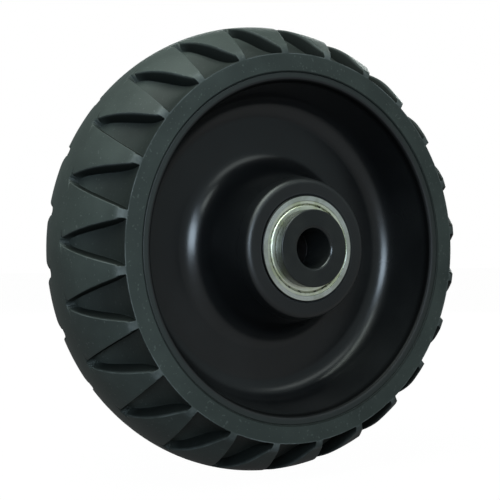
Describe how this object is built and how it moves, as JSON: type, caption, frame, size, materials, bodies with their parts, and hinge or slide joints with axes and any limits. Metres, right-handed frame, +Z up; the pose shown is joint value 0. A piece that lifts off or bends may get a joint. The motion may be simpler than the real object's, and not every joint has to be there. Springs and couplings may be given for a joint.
{
  "type": "trolley wheel",
  "caption": "Rubber-tyred trolley wheel with a moulded plastic centre, sealed ball bearings and flanged bushes round a plain axle bore.",
  "frame": {"origin": "centre of the wheel, on its axle line", "axes": "+Y along the axle, away from the face in the picture, which looks along -Y; +Z up"},
  "size_m": [0.1532, 0.066, 0.1532],
  "materials": {
    "tyre_rubber": "matte moulded rubber, fine grain",
    "centre_plastic": "smooth gloss black moulding",
    "bush_plastic": "matte black moulding",
    "bearing_steel": "ground steel",
    "shield_steel": "bright pressed steel",
    "cage_steel": "pressed steel",
    "ball_steel": "polished",
    "spacer_steel": "zinc plated tube"
  },
  "bodies": {
    "axle_set": {"front_bush": "bush_plastic", "rear_bush": "bush_plastic", "front_inner_ring": "bearing_steel", "rear_inner_ring": "bearing_steel", "spacer_tube": "spacer_steel"},
    "wheel": {"tyre": "tyre_rubber", "wheel_centre": "centre_plastic", "front_outer_ring": "bearing_steel", "front_outer_shield": "shield_steel", "front_inner_shield": "shield_steel", "rear_outer_ring": "bearing_steel", "rear_outer_shield": "shield_steel", "rear_inner_shield": "shield_steel"},
    "front_ball_cage": {"front_balls": "ball_steel", "front_cage_outer_half": "cage_steel", "front_cage_inner_half": "cage_steel", "front_cage_rivets": "cage_steel"},
    "rear_ball_cage": {"rear_balls": "ball_steel", "rear_cage_outer_half": "cage_steel", "rear_cage_inner_half": "cage_steel", "rear_cage_rivets": "cage_steel"}
  },
  "joints": [
    {"name": "wheel_spin", "type": "hinge", "parent": "axle_set", "child": "wheel", "pos_m": [0, 0, 0], "axis": [0, 1, 0], "continuous": true},
    {"name": "front_cage_spin", "type": "hinge", "parent": "axle_set", "child": "front_ball_cage", "pos_m": [0, -0.0237, 0], "axis": [0, 1, 0], "continuous": true},
    {"name": "rear_cage_spin", "type": "hinge", "parent": "axle_set", "child": "rear_ball_cage", "pos_m": [0, 0.0237, 0], "axis": [0, 1, 0], "continuous": true}
  ],
  "couplings": [
    {"joint": "front_cage_spin", "follows": "wheel_spin", "ratio": 0.6188},
    {"joint": "rear_cage_spin", "follows": "wheel_spin", "ratio": 0.6188}
  ]
}
